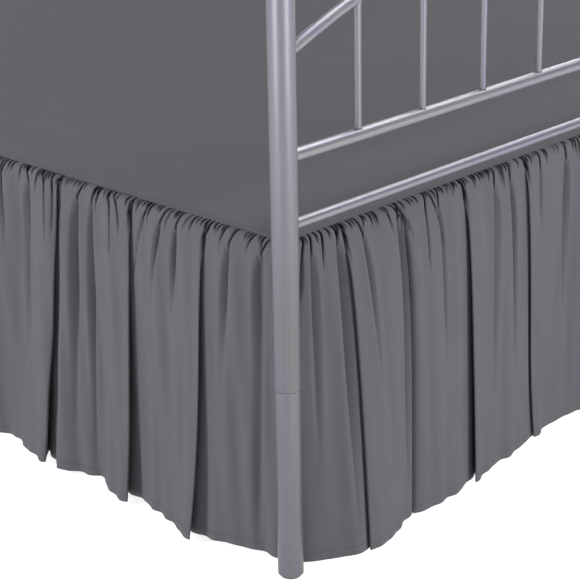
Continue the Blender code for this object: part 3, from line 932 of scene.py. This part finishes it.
def make_ticking():
    """Off-white twill with fine woven stripes that run up the sides."""
    material, tree, shader = start_material("ticking_cloth")
    place = add_node(tree, "ShaderNodeTexCoord").outputs["Object"]
    x, y, _ = split_place(place)
    stripe = maths("FRACT", maths("DIVIDE", plus(x, y), STRIPE_PITCH))
    mark = maths("LESS_THAN", maths("ABSOLUTE", minus(stripe, 0.5)), 0.09)
    look = {"Map": place, "Colour": TICKING_COLOUR, "Cloudiness": 0.08, "Roughness": 0.8}
    weave = add_node(tree, "ShaderNodeGroup", look, node_tree=weave_group).outputs
    set_inputs(
        shader,
        {
            "Base Color": scale_colour(weave["Colour"], minus(1, times(mark, 0.28))),
            "Roughness": weave["Roughness"],
            "Normal": bump_of(weave["Height"], 0.3, 0.0003),
        },
    )
    return material


ticking = make_ticking()

# %% Build the box spring
WELT_RADIUS = 0.0035
WELT_STEPS = 320
BOX_ROUND = 0.012
BOX_CORNER = 0.014
SIDE_INSET = 0.003


def start_block(low, high):
    """A block between two corners."""
    block = bmesh.new()
    bmesh.ops.create_cube(block, size=1)
    bmesh.ops.scale(block, vec=high - low, verts=block.verts)
    bmesh.ops.translate(block, vec=(low + high) / 2, verts=block.verts)
    return block


def round_edges(shape, edges, radius, steps):
    """Rounds edges off."""
    how = {"affect": "EDGES", "profile": 0.5, "material": -1}
    bmesh.ops.bevel(shape, geom=edges, offset=radius, segments=steps, **how)


def close_ring(shape, verts, near):
    """Joins the edges of a grid that is bent to a ring, and turns its faces outwards."""
    bmesh.ops.remove_doubles(shape, verts=verts, dist=near)
    around = list({face for vert in verts if vert.is_valid for face in vert.link_faces})
    bmesh.ops.recalc_face_normals(shape, faces=around)


def build_box_spring():
    """The block with rounded edges and its two welts."""
    inset = Vector((SIDE_INSET, SIDE_INSET, 0))
    block = start_block(box_low + inset, box_high - inset)
    upright = [e for e in block.edges if abs(e.verts[0].co.z - e.verts[1].co.z) > 0.01]
    round_edges(block, upright, BOX_CORNER, 6)
    rims = [e for e in block.edges if len({round(f.normal.z, 2) for f in e.link_faces}) > 1]
    round_edges(block, rims, BOX_ROUND, 5)
    bmesh.ops.recalc_face_normals(block, faces=block.faces)
    half_x, half_y = HALF_WIDTH - WELT_RADIUS, BED_LENGTH / 2 - WELT_RADIUS
    for height in (box_low.z + BOX_ROUND, box_high.z - BOX_ROUND):
        grid = {"x_segments": WELT_STEPS, "y_segments": 12, "size": 1}
        cord = bmesh.ops.create_grid(block, **grid)["verts"]
        for vert in cord:
            share = grid_step(vert.co.x, WELT_STEPS) / WELT_STEPS % 1
            angle = pi * vert.co.y
            edge = outline_point(share, half_x, half_y, BOX_CORNER)
            rise = WELT_RADIUS * sin(angle)
            vert.co = ring_place(edge, half_x, half_y, WELT_RADIUS * cos(angle), height + rise)
        close_ring(block, cord, 0.00002)
    add_piece("box_spring_body", block, ticking, "box_spring")


build_box_spring()

# %% [markdown]
# The bed's steel
#
# The frame is steel tube with a silver finish, satin and slightly violet, drawn out in fine streaks
# along each tube. The streaks are noise that is stretched along the tube, so each direction of tube
# has its own material around one group.

# %% Make the silver finish
SILVER = (0.28, 0.28, 0.295, 1)
VIOLET = (0.26, 0.25, 0.31, 1)
# Painted shade: upright steel's colour is darker towards the floor, between these heights.
PAINTED_SHADE_FROM, PAINTED_SHADE_TO, PAINTED_SHADE_DARKEST = 0.38, 0.95, 0.62


def build_silver_group():
    """Colour, roughness and height of a brushed silver finish, from a stretched place."""
    inputs = {"Place": None, "Colour": GREY, "Tint": GREY, "Streaks": 0.15, "Roughness": 0.35}
    group, given, result = start_group("drawn_silver", inputs)
    broad = read_noise(given["Place"], 90, 3)
    fine = read_noise(given["Place"], 650, 2, 0.7)
    ends = {"Value": broad, "From Min": 0.38, "From Max": 0.62}
    patch = add_node(group, "ShaderNodeMapRange", ends).outputs["Result"]
    tone = mix_colours(patch, given["Colour"], given["Tint"])
    streak = minus(fine, 0.5)
    set_inputs(
        result,
        {
            "Colour": scale_colour(tone, plus(1, times(streak, given["Streaks"]))),
            "Roughness": plus(given["Roughness"], times(streak, 0.3)),
            "Height": fine,
        },
    )
    return group


silver_group = build_silver_group()


def make_silver(name, stretch, painted_shade_low=1):
    """The silver finish, drawn out where stretch is small, and darkened by painted shade down to
    painted_shade_low near the floor.
    """
    material, tree, shader = start_material(name)
    place = add_node(tree, "ShaderNodeTexCoord").outputs["Object"]
    drawn = add_node(tree, "ShaderNodeMapping", {"Vector": place, "Scale": stretch})
    look = {"Colour": SILVER, "Tint": VIOLET, "Streaks": 0.35, "Roughness": 0.45}
    look["Place"] = drawn.outputs["Vector"]
    finish = add_node(tree, "ShaderNodeGroup", look, node_tree=silver_group).outputs
    # Painted shade: the colour darkens towards the floor.
    ends = {"From Min": PAINTED_SHADE_FROM, "From Max": PAINTED_SHADE_TO, "To Min": painted_shade_low}
    ends["Value"] = split_place(place)[2]
    painted_shade = add_node(tree, "ShaderNodeMapRange", ends).outputs["Result"]
    set_inputs(
        shader,
        {
            "Base Color": scale_colour(finish["Colour"], painted_shade),
            "Roughness": finish["Roughness"],
            "Normal": bump_of(finish["Height"], 0.12, 0.0002),
            "Metallic": 0.75,
        },
    )
    return material


upright_silver = make_silver("upright_silver", (1, 1, 0.02), PAINTED_SHADE_DARKEST)
level_silver = make_silver("level_silver", (0.02, 1, 1))
lengthwise_silver = make_silver("lengthwise_silver", (1, 0.02, 1))

# %% [markdown]
# The dark feet are moulded plastic, with the slight grain that a mould leaves.

# %% Make the plastic
PLASTIC_DARK, PLASTIC_WORN = (0.020, 0.020, 0.022, 1), (0.040, 0.040, 0.043, 1)
glide_plastic, plastic_tree, plastic_shader = start_material("dark_plastic")
plastic_place = add_node(plastic_tree, "ShaderNodeTexCoord").outputs["Object"]
worn = read_noise(plastic_place, 60, 4)
set_inputs(
    plastic_shader,
    {
        "Base Color": mix_colours(worn, PLASTIC_DARK, PLASTIC_WORN),
        "Roughness": 0.5,
        "Normal": bump_of(read_noise(plastic_place, 1400, 2), 0.2, 0.0002),
    },
)

# %% [markdown]
# Posts, legs and feet
#
# Everything at a corner is round, so it is turned: half an outline of a few points, spun about the
# post's axis. The upper post slips over a slightly thinner leg, which widens a little to its foot.
# The post's lower lip is rolled in.


# %% Turn the corners
def turn_piece(name, node, material, profile, sides=64):
    """A turned piece on its node's axis, from its outline (radius, height) from the top down."""
    low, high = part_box(node)
    axis = (low + high) / 2
    turned = bmesh.new()
    points = [turned.verts.new((radius, 0, height)) for radius, height in profile]
    line = [turned.edges.new(pair) for pair in zip(points, points[1:])]
    whole = {"cent": (0, 0, 0), "axis": (0, 0, 1), "angle": 2 * pi, "use_merge": True}
    bmesh.ops.spin(turned, geom=points + line, steps=sides, **whole)
    bmesh.ops.remove_doubles(turned, verts=turned.verts, dist=0.00001)
    bmesh.ops.recalc_face_normals(turned, faces=turned.faces)
    bmesh.ops.translate(turned, vec=(axis.x, axis.y, 0), verts=turned.verts)
    add_piece(name, turned, material, node, 50)


def turned_size(node):
    """A round node's radius, and its lowest and highest heights."""
    low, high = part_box(node)
    return (high.x - low.x) / 2, low.z, high.z


def arc_points(radius, low, high, steps):
    """A quarter of an ellipse, from the axis at the top out to the radius."""
    turns = [pi / 2 * step / steps for step in range(steps + 1)]
    return [(radius * sin(turn), low + (high - low) * cos(turn)) for turn in turns]


LEG_SPREAD = 0.0006
CORNERS = [f"{end}_{side}" for end in ("foot", "head") for side in ("left", "right")]
for corner in CORNERS:
    node = f"post_{corner}"
    wide, low, high = turned_size(node)
    dome = arc_points(wide, high - wide / 2, high, 10)
    lip = [(wide, low + 0.0012), (wide - 0.0003, low + 0.0004), (wide - 0.0009, low), (0, low)]
    turn_piece(f"upper_post_{corner}", node, upright_silver, dome + lip)
    node = f"leg_{corner}"
    wide, low, high = turned_size(node)
    leg = [(0, high), (wide - LEG_SPREAD, high), (wide, low + 0.001), (wide - 0.001, low), (0, low)]
    turn_piece(f"lower_leg_{corner}", node, upright_silver, leg)
    node = f"glide_{corner}"
    wide, low, high = turned_size(node)
    rim = [(wide - 0.0006, high), (wide, high - 0.0006), (wide, low + 0.0016)]
    foot = [(0, high), *rim, (wide - 0.0005, low + 0.0005), (wide - 0.0016, low), (0, low)]
    turn_piece(f"foot_pad_{corner}", node, glide_plastic, foot)

# %% [markdown]
# Rails, arches and spindles
#
# Tubes that meet at a right angle are cut to each other's curve and welded. A capped cylinder has
# a ring of points at each end. Moving those along the tube until they lie on the other tube's
# surface makes the cut, and a thin wavy ring round it is the weld's bead.

# %% Read the tubes' sizes
RAIL_SIDES = 32
SPINDLE_SIDES = 20
BEAD = 0.0011
BEAD_STEPS = 24
post_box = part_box("post_foot_left")
POST_RADIUS = (post_box[1].x - post_box[0].x) / 2
POST_X = -(post_box[0].x + post_box[1].x) / 2
weld_chance = np.random.default_rng(41)


def post_reach(aside):
    """How far from the bed's middle a tube meets the post, aside from the tube's own axis."""
    return POST_X - sqrt(POST_RADIUS**2 - aside**2)


def add_bead(mesh, radius, place_of):
    """A weld's bead: a thin wavy ring round a tube, laid by place_of(x, y, along) on the joint."""
    grid = {"x_segments": BEAD_STEPS, "y_segments": 6, "size": 1}
    ring = bmesh.ops.create_grid(mesh, **grid)["verts"]
    waves = [weld_chance.uniform(-0.3, 0.3) for _ in range(BEAD_STEPS)]
    for vert in ring:
        step = grid_step(vert.co.x, BEAD_STEPS) % BEAD_STEPS
        turn, roll = 2 * pi * step / BEAD_STEPS, pi * vert.co.y
        thick = BEAD * (1 + waves[step])
        out = radius + thick * cos(roll) * 0.8
        lift = thick * (0.6 + sin(roll))
        vert.co = place_of(out * cos(turn), out * sin(turn), lift)
    close_ring(mesh, ring, 0.00001)


def add_tube(mesh, radius, length, sides):
    """A capped cylinder along Z, with its points."""
    size = {"radius1": radius, "radius2": radius, "depth": length}
    tube = bmesh.ops.create_cone(mesh, cap_ends=True, cap_tris=True, segments=sides, **size)
    return tube["verts"]


# %% Weld the rails
def build_rail(name, node):
    """A straight rail between the posts, cut to their curve."""
    low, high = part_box(node)
    radius = (high.z - low.z) / 2
    middle = (low + high) / 2
    rail = bmesh.new()
    for vert in add_tube(rail, radius, 2 * POST_X, RAIL_SIDES):
        side = 1 if vert.co.z > 0 else -1
        reach = post_reach(vert.co.y)
        vert.co = (side * reach, middle.y + vert.co.y, middle.z - vert.co.x)
    for side in (-1, 1):

        def on_post(x, y, along):
            return (side * (post_reach(y) - along), middle.y + y, middle.z + x)

        add_bead(rail, radius, on_post)
    add_piece(name, rail, level_silver, node, 60)


for end in ("foot", "head"):
    for height in ("low", "mid"):
        build_rail(f"{end}_{height}_tube", f"{end}_{height}_rail")

# %% Bend the arches
ARCH_STEPS = 96
ARCH_RISE = 0.158
ARCH_CIRCLE = (POST_X**2 + ARCH_RISE**2) / (2 * ARCH_RISE)


def arch_line(end):
    """The arch's place along the bed, its crown's middle height and its tube's radius."""
    low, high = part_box(f"{end}_arch")
    radius = (high.y - low.y) / 2
    return (low.y + high.y) / 2, high.z - radius, radius


def arch_height(crown, across):
    """The height of the arch's middle line."""
    return crown - ARCH_CIRCLE + sqrt(ARCH_CIRCLE**2 - across**2)


def build_arch(end):
    """The arch: a circle of points, spun along the arch's own circle and cut to the posts."""
    y, crown, radius = arch_line(end)
    half_turn = asin((POST_X - POST_RADIUS + 0.002) / ARCH_CIRCLE)
    arch = bmesh.new()
    ring = bmesh.ops.create_circle(arch, segments=RAIL_SIDES, radius=radius)["verts"]
    centre = Vector((0, y, crown - ARCH_CIRCLE))
    for vert in ring:
        vert.co = (0, y + vert.co.y, crown + vert.co.x)
    start = Matrix.Rotation(-half_turn, 3, "Y")
    bmesh.ops.rotate(arch, cent=centre, matrix=start, verts=ring)
    sweep = {"cent": centre, "axis": (0, 1, 0), "angle": 2 * half_turn}
    bmesh.ops.spin(arch, geom=arch.verts[:] + arch.edges[:], steps=ARCH_STEPS, **sweep)
    for vert in arch.verts:
        if any(edge.is_boundary for edge in vert.link_edges):
            side = 1 if vert.co.x > 0 else -1
            vert.co.x = side * post_reach(vert.co.y - y)
    bmesh.ops.holes_fill(arch, edges=[e for e in arch.edges if e.is_boundary], sides=0)
    bmesh.ops.recalc_face_normals(arch, faces=arch.faces)
    steep = sqrt(1 + tan(half_turn) ** 2)
    for side in (-1, 1):

        def on_post(x, dy, along):
            reach = post_reach(dy) - along
            return (side * reach, y + dy, arch_height(crown, reach) + x * steep)

        add_bead(arch, radius, on_post)
    add_piece(f"{end}_arch_tube", arch, level_silver, f"{end}_arch", 60)


for end in ("foot", "head"):
    build_arch(end)

# %% Set the spindles
SPINDLE_COUNT = 11


def build_spindle(end, number):
    """A thin upright between the middle rail and the arch, cut to both and welded."""
    node = f"{end}_spindle_{number:02d}"
    low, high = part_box(node)
    middle, radius = (low + high) / 2, (high.y - low.y) / 2
    _, crown, arch_radius = arch_line(end)
    rail_low, rail_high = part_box(f"{end}_mid_rail")
    rail_middle, rail_radius = (rail_low.z + rail_high.z) / 2, (rail_high.z - rail_low.z) / 2
    slope = abs(middle.x) / sqrt(ARCH_CIRCLE**2 - middle.x**2)

    def on_rail(x, dy, along):
        top = rail_middle + sqrt(rail_radius**2 - dy**2)
        return (middle.x + x, middle.y + dy, top + along)

    def under_arch(x, dy, along):
        under = sqrt(arch_radius**2 - dy**2) * sqrt(1 + slope**2)
        height = arch_height(crown, middle.x + x)
        return (middle.x + x, middle.y + dy, height - under - along)

    spindle = bmesh.new()
    for vert in add_tube(spindle, radius, 1, SPINDLE_SIDES):
        lay = under_arch if vert.co.z > 0 else on_rail
        vert.co = lay(vert.co.x, vert.co.y, 0)
    add_bead(spindle, radius, on_rail)
    add_bead(spindle, radius, under_arch)
    name = f"{end}_upright_{number:02d}"
    add_piece(name, spindle, upright_silver, node, 60)


for end in ("foot", "head"):
    for number in range(1, SPINDLE_COUNT + 1):
        build_spindle(end, number)

# %% [markdown]
# Under the skirt
#
# Side rails hook onto the legs, three slats cross them, and a leg stands under each slat. They are
# bent sheet and square tube, so their edges are a little round. Each is its solid's box with a
# bevel, and each centre leg is turned like the posts.


# %% Build the bed's base
def build_bar(name, node, material, edge_round):
    """A straight bar with rounded edges."""
    bar = start_block(*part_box(node))
    round_edges(bar, bar.edges[:], edge_round, 3)
    add_piece(name, bar, material, node, 60)


for side in ("left", "right"):
    build_bar(f"{side}_side_rail", f"side_rail_{side}", lengthwise_silver, 0.003)
    for end in ("foot", "head"):
        build_bar(f"{end}_{side}_hook_plate", f"hook_plate_{end}_{side}", upright_silver, 0.0008)
for number in (1, 2, 3):
    build_bar(f"cross_slat_{number}", f"slat_{number}", level_silver, 0.0025)
    node = f"centre_leg_{number}"
    wide, low, high = turned_size(node)
    foot = [(wide, low + 0.012), (wide - 0.001, low + 0.011), (wide - 0.001, low + 0.001)]
    leg = [(0, high), (wide, high), *foot, (wide - 0.002, low), (0, low)]
    turn_piece(f"middle_leg_{number}", node, upright_silver, leg, 32)
